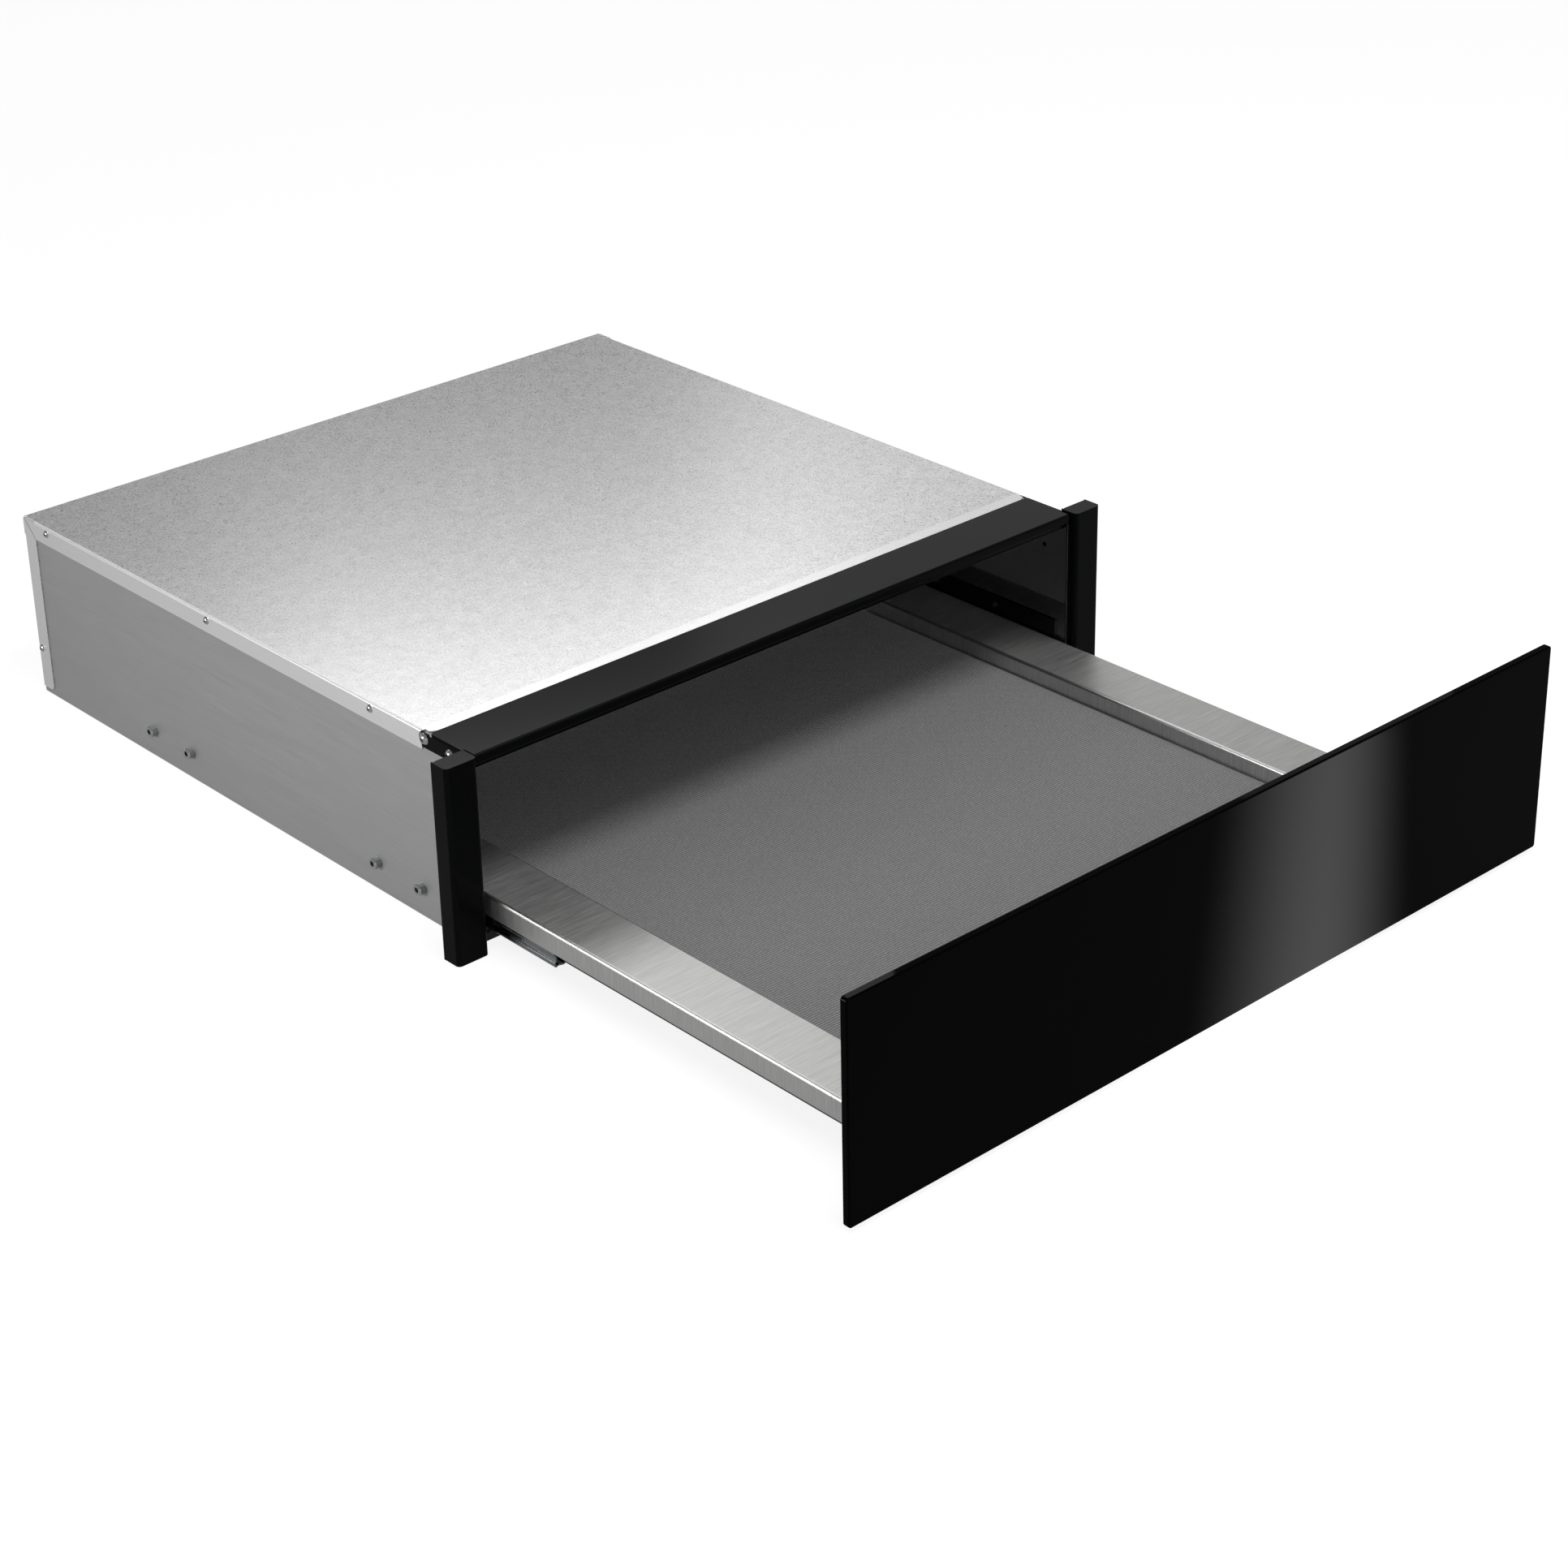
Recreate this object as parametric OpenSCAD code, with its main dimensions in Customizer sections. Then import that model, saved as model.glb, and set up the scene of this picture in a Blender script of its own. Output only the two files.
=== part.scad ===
// Built-in storage drawer: a low sheet-metal casing with a glass-fronted drawer
// on telescopic ball-bearing runners, shown with the drawer open.
// X runs across the front, Y from the front to the back and Z up. The origin is
// the middle of the casing's underside. Left-hand pieces lie at negative X.

/* [Glass front] */
// Width of the glass
glass_w = 594; // [580:1:620]
// Height of the glass
glass_h = 140; // [134:1:170]
// Thickness of the glass
glass_t = 5; // [4:0.5:8]
// Bevel along the front edges of the glass
bevel = 1; // [0.5:0.1:1.5]
// Radius of the corners of the glass
glass_r = 2; // [1.8:0.1:8]
// Lower edge of the glass above the casing's underside
glass_lift = 3; // [1:0.5:5]
// Border of glass round the pan that carries it
carrier_border = 19; // [17:0.5:24]
// Depth of the pan that carries the glass
carrier_d = 15; // [10:0.5:18]
// Sheet thickness of the pan that carries the glass
carrier_t = 1; // [0.8:0.1:1.5]

/* [Drawer] */
// How far the drawer stands open
open_l = 335; // [0:5:450]
// Length of the tray
tray_l = 525; // [515:1:525]
// Sheet thickness of the tray
tray_t = 0.8; // [0.6:0.1:1.2]
// Top of the tray's rim above the casing's underside
rim_z = 38; // [37.5:0.1:45]
// Width of the rim beside the basin
rim_w = 43; // [38:0.5:60]
// Width of the rim before the basin
end_rim_w = 12; // [8:0.5:20]
// Width of the rim behind the basin
rear_rim_w = 8; // [6:0.5:12]
// Depth of the basin
basin_d = 14; // [10:0.5:15]
// Height of the lip folded down from the rim
lip_h = 14.5; // [8:0.5:14.9]
// Inside radius of the tray's bends
tray_bend = 1.5; // [1:0.1:2.5]
// Thickness of the ribbed mat
mat_t = 2; // [1:0.1:4]
// Radius of the mat's corners
mat_r = 6; // [2:0.5:20]

/* [Casing] */
// Width of the casing over the cover's side flanges
case_w = 514; // [500:1:530]
// Depth of the casing from its front edge to its back
case_d = 496; // [490:1:520]
// Height of the casing
case_h = 133; // [110:1:150]
// Thickness of the casing's sheets
sheet_t = 0.8; // [0.6:0.1:1]
// Depth of the cover's side flanges
cover_flange = 13; // [10:0.5:20]
// Width of the strips at the rear of both sides
rear_strip_w = 14.5; // [10:0.5:20]
// Height of the floor's upturned edges
floor_flange = 12; // [8:0.5:16]

/* [Posts and bar] */
// Width of the front posts
post_w = 23.3; // [18:0.1:28]
// How far the posts stand forward of the casing
post_stand = 15; // [12:0.5:20]
// Sheet thickness of the posts and the bar
post_t = 1; // [0.8:0.1:1.5]
// Radius of the holes in the floor that fix the casing in the niche
fix_r = 2.1; // [1.5:0.1:3]
// Distance between the two fixing holes across the floor
fix_pitch = 320; // [200:5:400]
// Depth of the bar across the top
bar_d = 41.5; // [30:0.5:60]
// Height of the bar's front edge
bar_lip = 6.5; // [4:0.5:10]
// Height of the rail under the drawer
rail_h = 5.5; // [4:0.1:6.5]

/* [Runners] */
// Height of the runners' middle above the casing's underside
run_z = 20; // [18:0.1:20]
// Height of a runner's outer member
run_h = 27; // [27:0.1:30]
// Thickness of a runner, all members together
run_w = 12.7; // [12.7:0.1:14]
// Sheet thickness of the runners' members
run_t = 1; // [0.9:0.05:1.05]
// Length of the outer members
outer_l = 480; // [470:1:484]
// Length of the middle members
middle_l = 380; // [360:1:400]
// Length of the inner members
inner_l = 478; // [440:1:478]
// Radius of the balls
ball_r = 1.5; // [1.4:0.05:1.55]
// Number of balls in each row
ball_n = 6; // [4:1:7]
// Pitch of the balls in the outer cages
outer_pitch = 24; // [16:1:25]
// Pitch of the balls in the inner cages
inner_pitch = 18; // [12:1:19]
// Thickness of the plates that carry the runners
bracket_t = 1.5; // [1:0.1:2]
// Height of the plates that carry the runners
bracket_h = 48.5; // [45:0.5:60]
// Length of the spacers between plate and runner
spacer_l = 2.9; // [2.5:0.1:4]

/* [Catch] */
// Length of the catch's housing
latch_l = 90; // [60:1:100]
// Width of the catch's housing
latch_w = 50; // [30:1:70]
// Height of the catch's housing
latch_h = 18; // [17:0.5:20]
// Radius of the catch's plunger
plunger_r = 4; // [3:0.1:5]
// Length of plunger that stands out of the housing
plunger_out = 5; // [4:0.5:20]

/* [Hidden] */
$fn = 48;

// Overrun of every cut past the surface that it starts from
over = 1;
// Clearance of a screw in its hole
hole_gap = 0.2;
// Clearance between pieces that are only laid side by side
seam = 0.3;
// Play between a ball and the races and pockets round it
ball_play = 0.05;
pocket_play = 0.1;
// Running clearance between the tray's lips and the plates beside them
lip_gap = 1.1;
// Gap between the closed front and the posts
seal_gap = 4;

// Stations across the casing, each a distance from the middle plane
case_half = case_w / 2;
side_out = case_half - sheet_t;
side_in = side_out - sheet_t;
liner_in = side_in - sheet_t;
plate_in = liner_in - bracket_t;
tray_half = plate_in - lip_gap;
basin_half = tray_half - rim_w;
web_out = plate_in - spacer_l;
rail_out = web_out - run_w;

// Stations from the front to the back
case_back = case_d / 2;
case_front = -case_back;
post_front = case_front - post_stand;
bar_stand = 10.5;
bar_front = case_front - bar_stand;
bar_back = bar_front + bar_d;
run_setback = 3;
outer_y = case_front + run_setback;

// Shares of the drawer's travel that the members and cages make
middle_share = 0.5;
outer_cage_share = 0.25;
inner_cage_share = 0.75;

// The drawer's pieces, where they stand with the drawer open
glass_y = post_front - seal_gap - carrier_d - glass_t - open_l;
carrier_y = glass_y + glass_t;
tray_y = carrier_y + carrier_t;
tray_end = tray_y + tray_l;
basin_y = tray_y + end_rim_w;
basin_end = tray_end - rear_rim_w;
rail_setback = 16;
inner_y = tray_y + rail_setback;

// Folded sheet: the middle line runs through pts, every corner bends with the inside radius r
bend_turn = 15;
function unit(v) = v / norm(v);
function left_of(v) = [-v[1], v[0]];
function turned(v, w) = [v[0] * cos(w) - v[1] * sin(w), v[0] * sin(w) + v[1] * cos(w)];
function turn(a, b) = atan2(a[0] * b[1] - a[1] * b[0], a * b);
function corner(p, a, b, r) =
    let (w = turn(a, b), s = sign(w), n = ceil(abs(w) / bend_turn))
    let (middle = p - a * r * tan(abs(w) / 2) + left_of(a) * s * r)
    [for (i = [0 : n]) let (m = turned(left_of(a), w * i / n)) [middle - m * s * r, m]];
function middle_line(pts, radii) =
    let (last = len(pts) - 1)
    let (way = [for (i = [1 : last]) unit(pts[i] - pts[i - 1])])
    concat([[pts[0], left_of(way[0])]],
           [for (i = [1 : last - 1]) each corner(pts[i], way[i - 1], way[i], radii[i])],
           [[pts[last], left_of(way[last - 1])]]);
module folded_radii(pts, t, radii) {
    line = middle_line(pts, radii);
    polygon(concat([for (q = line) q[0] + q[1] * t / 2],
                   [for (i = [len(line) - 1 : -1 : 0]) line[i][0] - line[i][1] * t / 2]));
}
module folded(pts, t, r) {
    folded_radii(pts, t, [for (p = pts) r + t / 2]);
}

// Extrusions of a profile along each direction
module along_x(x0, x1) {
    translate([x0, 0, 0]) rotate([90, 0, 90]) linear_extrude(x1 - x0) children();
}
module along_y(y0, y1) {
    translate([0, y1, 0]) rotate([90, 0, 0]) linear_extrude(y1 - y0) children();
}
module along_z(z0, z1) {
    translate([0, 0, z0]) linear_extrude(z1 - z0) children();
}

// Box between two opposite corners
module block(a, b) {
    translate(a) cube(b - a);
}
// Plate with round corners, seen from above
module round_plate(a, b, r) {
    block([a[0] + r, a[1], a[2]], [b[0] - r, b[1], b[2]]);
    block([a[0], a[1] + r, a[2]], [b[0], b[1] - r, b[2]]);
    for (x = [a[0] + r, b[0] - r], y = [a[1] + r, b[1] - r])
        translate([x, y, a[2]]) cylinder(h = b[2] - a[2], r = r);
}
// Pin or bore along X, from x0 to x1
module pin_x(x0, x1, y, z, r) {
    translate([x0, y, z]) rotate([0, 90, 0]) cylinder(h = x1 - x0, r = r);
}
// Pin or bore along Y, from y0 to y1
module pin_y(x, y0, y1, z, r) {
    translate([x, y1, z]) rotate([90, 0, 0]) cylinder(h = y1 - y0, r = r);
}
module both_sides() {
    children();
    mirror([1, 0, 0]) children();
}
module right_hand() {
    mirror([1, 0, 0]) children();
}

// Screw with a domed head and a hexagon socket; the head stands on z = 0
module button_screw(head_r, head_h, shank_r, shank_l) {
    dome_r = (head_r * head_r + head_h * head_h) / (2 * head_h);
    socket_r = head_r * socket_share;
    difference() {
        union() {
            intersection() {
                translate([0, 0, head_h - dome_r]) sphere(r = dome_r);
                cylinder(h = head_h, r = head_r);
            }
            translate([0, 0, -shank_l]) cylinder(h = shank_l, r = shank_r);
        }
        translate([0, 0, head_h * socket_left_share]) cylinder(h = head_h, r = socket_r, $fn = 6);
    }
}
socket_share = 0.5;
socket_left_share = 0.35;
// Screw with a cylindrical head, its edge bevelled
module cap_screw(head_r, head_h, shank_r, shank_l) {
    edge = head_h * cap_edge_share;
    difference() {
        union() {
            cylinder(h = head_h - edge, r = head_r);
            translate([0, 0, head_h - edge]) cylinder(h = edge, r1 = head_r, r2 = head_r - edge);
            translate([0, 0, -shank_l]) cylinder(h = shank_l, r = shank_r);
        }
        translate([0, 0, head_h * socket_left_share])
            cylinder(h = head_h, r = head_r * socket_share, $fn = 6);
    }
}
cap_edge_share = 0.15;
// Head outwards on the left side, at x = -station
module left_facing(station, y, z) {
    translate([-station, y, z]) rotate([0, -90, 0]) children();
}

// Places of the fasteners
cover_screw_shares = [0.184, 0.544, 0.94];
cover_screw_r = 1.5;
cover_head_r = 2.8;
cover_head_h = 1.6;
cover_screw_l = 4;
cover_screw_drop = 4.4;
strip_screw_z = 34;
strip_screw_in = 4.5;
function cover_screw_y(share) = case_front + case_d * share;

button_r = 3.8;
button_h = 2.2;
button_shank_r = 1.9;
button_l = 8;
button_rear_in = 5;
button_rear_drop = 5;
button_front_in = 11;
button_front_drop = 7;

bolt_shares = [0.102, 0.195, 0.617, 0.708];
bolt_r = 2;
bolt_head_r = 4;
bolt_head_h = 4.6;
spacer_r = 3.2;
function bolt_y(share) = case_front + case_d * share;
module at_bolts() {
    for (s = bolt_shares) translate([0, bolt_y(s), run_z]) children();
}

// Cover: top, back, side flanges and rear strips from one sheet
cover_front = bar_back + seam;
lug_l = 8;
cover_flange_y = bar_back + lug_l;
cover_corner_r = 8;
strip_bottom = 4;
strip_corner_r = 4;
mitre_gap = 0.5;
cover_bend = 0.8;
lug_gap = 1.5;
module cover_flange_cuts() {
    cut_in = side_in - over;
    pin_x(-case_half - over, -cut_in, bar_back + button_rear_in, case_h - button_rear_drop,
          button_r + lug_gap);
    for (s = cover_screw_shares)
        pin_x(-case_half - over, -cut_in, cover_screw_y(s), case_h - cover_screw_drop,
              cover_screw_r + hole_gap);
    pin_x(-case_half - over, -cut_in, case_back - strip_screw_in, strip_screw_z,
          cover_screw_r + hole_gap);
    // The mitre between the side flange and the rear strip
    translate([-case_half - over, case_back - rear_strip_w, case_h - cover_flange])
        rotate([45, 0, 0]) translate([0, -mitre_gap - cover_flange / 2, -mitre_gap / 2])
            cube([case_half + over - cut_in, 2 * cover_flange, mitre_gap]);
}
module cover() {
    x = case_half - sheet_t / 2;
    top = case_h - sheet_t / 2;
    back = case_back - sheet_t / 2;
    color("lightgray") difference() {
        union() {
            along_y(cover_flange_y, case_back)
                folded([[-x, case_h - cover_flange], [-x, top], [x, top], [x, case_h - cover_flange]],
                       sheet_t, cover_bend);
            difference() {
                round_plate([-side_out, cover_front, case_h - sheet_t],
                            [side_out, cover_flange_y + 2 * cover_corner_r, case_h],
                            cover_corner_r);
                block([-case_half, cover_flange_y, case_h - sheet_t - over],
                      [case_half, cover_flange_y + 3 * cover_corner_r, case_h + over]);
            }
            along_z(strip_bottom, case_h)
                folded([[-x, case_back - rear_strip_w], [-x, back], [x, back],
                        [x, case_back - rear_strip_w]], sheet_t, cover_bend);
        }
        both_sides() cover_flange_cuts();
        both_sides() strip_corner_cut();
    }
}
// Rounds the lower front corner of a rear strip
module strip_corner_cut() {
    y = case_back - rear_strip_w;
    difference() {
        block([-case_half - over, y - over, strip_bottom - over],
              [-side_in + over, y + strip_corner_r, strip_bottom + strip_corner_r]);
        pin_x(-case_half - 2 * over, -side_in + 2 * over, y + strip_corner_r,
              strip_bottom + strip_corner_r, strip_corner_r);
    }
}

// Side panel with a flange folded inwards along its top
side_top = case_h - post_t;
side_flange = 8;
side_bend = 0.8;
// Both cheeks reach forward beside the post's inner leg, between the rail and the top
cheek_stand = 7.5;
cheek_top = side_top - 2 * sheet_t - side_bend;
module side_left() {
    x = side_out - sheet_t / 2;
    color("darkgray") difference() {
        union() {
            along_y(case_front, case_back - sheet_t - cover_bend)
                folded([[-x, 0], [-x, side_top - sheet_t / 2],
                        [side_flange - x, side_top - sheet_t / 2]], sheet_t, side_bend);
            block([-side_out, case_front - cheek_stand, floor_flange + seam],
                  [-side_in, case_front + over, cheek_top]);
        }
        at_bolts() pin_x(-side_out - over, over - side_in, 0, 0, bolt_r + hole_gap);
        for (s = cover_screw_shares)
            pin_x(-side_out - over, over - side_in, cover_screw_y(s), case_h - cover_screw_drop,
                  cover_screw_r + hole_gap);
        pin_x(-side_out - over, over - side_in, case_back - strip_screw_in, strip_screw_z,
              cover_screw_r + hole_gap);
        bar_screw_bores(side_out + over, side_in - over);
        for (z = post_screw_z) pin_x(-side_out - over, over - side_in, post_screw_y, z,
                                     post_screw_r + hole_gap);
    }
}

// Bright cheek inside each side panel
liner_setback = 1;
module liner_left() {
    color("silver") difference() {
        block([-side_in, case_front - cheek_stand, floor_flange + seam],
              [-liner_in, case_back - sheet_t - liner_setback, cheek_top]);
        at_bolts() pin_x(-side_in - over, over - liner_in, 0, 0, bolt_r + hole_gap);
        for (s = cover_screw_shares)
            pin_x(-side_in - over, over - liner_in, cover_screw_y(s), case_h - cover_screw_drop,
                  cover_screw_r + hole_gap);
        pin_x(-side_in - over, over - liner_in, case_back - strip_screw_in, strip_screw_z,
              cover_screw_r + hole_gap);
        bar_screw_bores(side_in + over, liner_in - over);
        for (z = post_screw_z) pin_x(-side_in - over, over - liner_in, post_screw_y, z,
                                     post_screw_r + hole_gap);
    }
}

// Floor with upturned edges on all four sides
floor_bend = 0.8;
floor_tongue = 10;
fix_in = 40;
module floor_pan() {
    x = side_in - sheet_t / 2;
    front = case_front + sheet_t / 2;
    back = case_back - sheet_t - sheet_t / 2;
    color("silver") difference() {
        union() {
            along_y(case_front + post_t, case_back - sheet_t)
                folded([[-x, floor_flange], [-x, sheet_t / 2], [x, sheet_t / 2], [x, floor_flange]],
                       sheet_t, floor_bend);
            along_x(-liner_in + floor_bend, liner_in - floor_bend)
                folded([[front, rail_h], [front, sheet_t / 2], [front + floor_tongue, sheet_t / 2]],
                       sheet_t, floor_bend);
            along_x(-liner_in + floor_bend, liner_in - floor_bend)
                folded([[back, floor_flange], [back, sheet_t / 2], [back - floor_tongue, sheet_t / 2]],
                       sheet_t, floor_bend);
        }
        for (x = rivet_x)
            pin_y(x, case_front - over, case_front + sheet_t + over, rail_h / 2, rivet_r + hole_gap);
        for (x = latch_screw_x, y = latch_screw_y)
            translate([x, y, -over]) cylinder(h = sheet_t + 2 * over, r = latch_screw_r + hole_gap);
        for (x = [-fix_pitch / 2, fix_pitch / 2])
            translate([x, case_front + fix_in, -over]) cylinder(h = sheet_t + 2 * over, r = fix_r);
    }
}

// Thin sheet behind the posts, with a low rail under the drawer
frame_t = 0.8;
frame_gap = 0.3;
frame_in = side_out + post_t + frame_gap;
frame_out = side_out + post_w - frame_gap;
module face_frame() {
    color("dimgray") difference() {
        union() {
            block([-frame_out, case_front - frame_t, 0], [frame_out, case_front, rail_h]);
            both_sides() block([-frame_out, case_front - frame_t, 0], [-frame_in, case_front, case_h]);
        }
        for (x = rivet_x)
            pin_y(x, case_front - frame_t - over, case_front + over, rail_h / 2, rivet_r + hole_gap);
    }
}
rivet_x_share = 0.9;
rivet_x = [for (i = [-2 : 2]) i * liner_in * rivet_x_share / 2];
rivet_r = 1.2;
rivet_head_r = 2;
rivet_head_h = 0.7;
module frame_rivets() {
    color("gray") for (x = rivet_x) {
        pin_y(x, case_front - frame_t - rivet_head_h, case_front - frame_t, rail_h / 2, rivet_head_r);
        pin_y(x, case_front - frame_t, case_front + sheet_t + rivet_head_h, rail_h / 2, rivet_r);
    }
}

// Bar across the top front: top, stepped front edge, side flanges with a round lug
bar_bend = 1;
bar_step = 3;
bar_second_lip = 3.5;
bar_flange = 11;
bar_end_gap = 2.2;
bar_corner_r = 4;
bar_mouth_half = side_out - bar_end_gap;
module bar_screw_bores(station_out, station_in) {
    for (p = bar_screw_places)
        pin_x(-station_out, -station_in, p[0], p[1], button_shank_r + hole_gap);
}
bar_screw_places = [[bar_back + button_rear_in, case_h - button_rear_drop],
                    [case_front + button_front_in, case_h - button_front_drop]];
module front_bar() {
    x = side_out + post_t / 2;
    top = case_h - post_t / 2;
    front = bar_front + post_t / 2;
    color("black") difference() {
        union() {
            along_x(-bar_mouth_half, bar_mouth_half)
                folded([[bar_back, top], [front, top], [front, case_h - bar_lip],
                        [front + bar_step, case_h - bar_lip],
                        [front + bar_step, case_h - bar_lip - bar_second_lip]], post_t, bar_bend);
            along_y(case_front, bar_back)
                folded([[-x, case_h - bar_flange], [-x, top], [x, top], [x, case_h - bar_flange]],
                       post_t, bar_bend);
            both_sides() block([-side_out - post_t, bar_back - bar_corner_r, case_h - bar_flange],
                               [-side_out, cover_flange_y - seam, side_top]);
        }
        both_sides() bar_screw_bores(side_out + post_t + over, side_out - over);
        both_sides() bar_corner_cut();
    }
}
// Rounds a rear corner of the bar's top
module bar_corner_cut() {
    difference() {
        block([-case_half - over, bar_back - bar_corner_r, case_h - post_t - bar_bend],
              [bar_corner_r - side_out, bar_back + over, case_h + over]);
        translate([bar_corner_r - side_out - post_t, bar_back - bar_corner_r, 0])
            cylinder(h = case_h + 2 * over, r = bar_corner_r);
    }
}

// Post: channel with closed ends, its inner leg screwed to the side panel
post_z0 = 0.5;
post_top = case_h + post_t;
post_bend = 2;
post_tongue = 20;
tongue_bottom = 6;
tongue_drop = 15;
tongue_r = 3;
post_screw_in = 13;
post_screw_y = case_front + post_screw_in;
post_screw_edge = 14;
post_screw_z = [tongue_bottom + post_screw_edge, case_h - tongue_drop - post_screw_edge];
post_screw_r = 1.5;
post_head_r = 2.8;
post_head_h = 1.4;
post_screw_l = post_t + 2 * sheet_t;
post_cap_edge = 0.5;
module post_left() {
    inner = side_out + post_t / 2;
    outer = side_out + post_w - post_t / 2;
    front = post_front + post_t / 2;
    back = case_front - frame_t;
    color("black") difference() {
        union() {
            along_z(post_z0, post_top)
                folded([[-inner, back], [-inner, front], [-outer, front], [-outer, back]],
                       post_t, post_bend);
            difference() {
                block([-side_out - post_t, back - over, tongue_bottom],
                      [-side_out, case_front + post_tongue, case_h - tongue_drop]);
                for (end = [[tongue_bottom, 1], [case_h - tongue_drop, -1]])
                    tongue_corner_cut(end[0], end[1]);
            }
            for (z = [post_z0, post_top - post_t])
                round_plate([-outer, front, z], [-inner, back - post_cap_edge, z + post_t],
                            post_bend + post_t / 2);
        }
        for (z = post_screw_z)
            pin_x(-side_out - post_t - over, over - side_out, post_screw_y, z,
                  post_screw_r + hole_gap);
    }
}
// Rounds a rear corner of the post's long leg at height z; way is 1 for the lower one
module tongue_corner_cut(z, way) {
    y = case_front + post_tongue - tongue_r;
    difference() {
        block([-side_out - post_t - over, y, z - (way > 0 ? over : tongue_r)],
              [over - side_out, y + tongue_r + over, z + (way > 0 ? tongue_r : over)]);
        pin_x(-side_out - post_t - 2 * over, 2 * over - side_out, y, z + way * tongue_r, tongue_r);
    }
}

// Plate that carries a runner, with a foot folded round its front end
plate_z = 1.7;
plate_end_in = 33;
foot_out = 9;
foot_up = 7;
foot_w = 4;
foot_h = 20;
plate_hole_r = 2.5;
plate_hole_drop = 7;
plate_hole_n = 7;
window_l = 60;
window_h = 9;
window_shares = [0.28, 0.44];
module runner_bracket_left() {
    front = case_front + sheet_t;
    end = case_back - plate_end_in;
    color("black") difference() {
        union() {
            block([-liner_in, front, plate_z], [-plate_in, end, plate_z + bracket_h]);
            block([-liner_in, front, plate_z], [foot_w - plate_in, front + bracket_t, plate_z + foot_h]);
            block([-liner_in, front, plate_z], [foot_out - plate_in, front + bracket_t,
                                                plate_z + foot_up]);
        }
        at_bolts() pin_x(-liner_in - over, over - plate_in, 0, 0, bolt_r + hole_gap);
        for (i = [1 : plate_hole_n])
            pin_x(-liner_in - over, over - plate_in, front + (end - front) * i / (plate_hole_n + 1),
                  plate_z + bracket_h - plate_hole_drop, plate_hole_r);
        for (s = window_shares) window(front + (end - front) * s);
    }
}
// Slot with round ends through the plate
module window(y) {
    r = window_h / 2;
    for (end = [y, y + window_l])
        pin_x(-liner_in - over, over - plate_in, end, run_z, r);
    block([-liner_in - over, y, run_z - r], [over - plate_in, y + window_l, run_z + r]);
}

// Runners: profiles across (u, inwards from the outer member's back) and up (v, from the middle)
race_slope = 30;
cross_slope = 12;
race_line_r = ball_r + ball_play + run_t / 2;
run_bend = 0.4;
race_half = 1.4;
middle_u = 2.6;
web_recess = 1;
rib_half = 1.6;
web_step = 1.2;
outer_race_u = 5.2;
race_pitch = 3.7;
inner_race_u = outer_race_u + race_pitch;
tip_l = 1.9;
outer_lip = 3;
run_bend_line = run_bend + run_t / 2;
// Height of the ball rows above and below the runner's middle
outer_row = run_h / 2 - run_t / 2 - race_line_r;
inner_row = outer_row + race_pitch * tan(cross_slope) - 2 * race_line_r / cos(cross_slope);
// Corner of a middle line that bends round a ball at c; way is 1 above the ball, -1 below it
function race(c, angle_in, angle_out, way) =
    let (mean = (angle_in + angle_out) / 2, far = race_line_r / cos((angle_out - angle_in) / 2))
    [c[0] - way * far * sin(mean), c[1] + way * far * cos(mean)];
function upside_down(pts) = [for (i = [len(pts) - 1 : -1 : 0]) [pts[i][0], -pts[i][1]]];
function backwards(list) = [for (i = [len(list) - 1 : -1 : 0]) list[i]];
module runner_section(half, radii) {
    folded_radii(concat(upside_down(half), half), run_t, concat(backwards(radii), radii));
}
module outer_section() {
    peak = race([outer_race_u, outer_row], race_slope, -race_slope, 1);
    flat = peak[1] - race_half * tan(race_slope);
    edge = run_w - run_t / 2;
    runner_section([[run_t / 2, flat], [outer_race_u - race_half, flat], peak,
                    [outer_race_u + race_half, flat], [edge, flat], [edge, flat - outer_lip]],
                   [run_bend_line, run_bend_line, race_line_r, run_bend_line, run_bend_line,
                    run_bend_line]);
}
module middle_section() {
    dip = race([outer_race_u, outer_row], -race_slope, cross_slope, -1);
    hump = race([inner_race_u, inner_row], cross_slope, -race_slope, 1);
    top = dip[1] + (dip[0] - middle_u) * tan(race_slope);
    step = top - web_recess - run_t - web_step;
    runner_section([[middle_u, rib_half], [middle_u + web_recess, rib_half + web_step],
                    [middle_u + web_recess, step - web_step], [middle_u, step],
                    [middle_u, top], dip, hump,
                    hump + tip_l * [cos(race_slope), -sin(race_slope)]],
                   [run_bend_line, run_bend_line, run_bend_line, run_bend_line, run_bend_line,
                    race_line_r, race_line_r, race_line_r]);
}
module inner_section() {
    low = race([inner_race_u, inner_row], race_slope, -race_slope, -1);
    edge = run_w - run_t / 2;
    top = low[1] + (edge - low[0]) * tan(race_slope);
    runner_section([[edge, top], low, low + tip_l * [-cos(race_slope), sin(race_slope)]],
                   [run_bend_line, race_line_r, race_line_r]);
}
module run_place(y) {
    translate([-web_out, y, run_z]) children();
}
module outer_runner_left() {
    color("silver") difference() {
        run_place(0) along_y(outer_y, outer_y + outer_l) outer_section();
        at_bolts() pin_x(-web_out - over, over + run_t - web_out, 0, 0, bolt_r + hole_gap);
    }
}

// Middle members, cages and balls stand at their own shares of the drawer's travel
stop_gap = 3.5;
middle_y = outer_y + outer_l - middle_l - stop_gap - open_l * middle_share;
slot_l = 40;
slot_h = 5;
module middle_runner_left() {
    color("silver") difference() {
        run_place(0) along_y(middle_y, middle_y + middle_l) middle_section();
        for (s = middle_slot_shares)
            run_slot(middle_y + middle_l * s, middle_u - run_t, middle_u + web_recess + run_t);
    }
}
middle_slot_shares = [0.3, 0.7];
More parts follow.
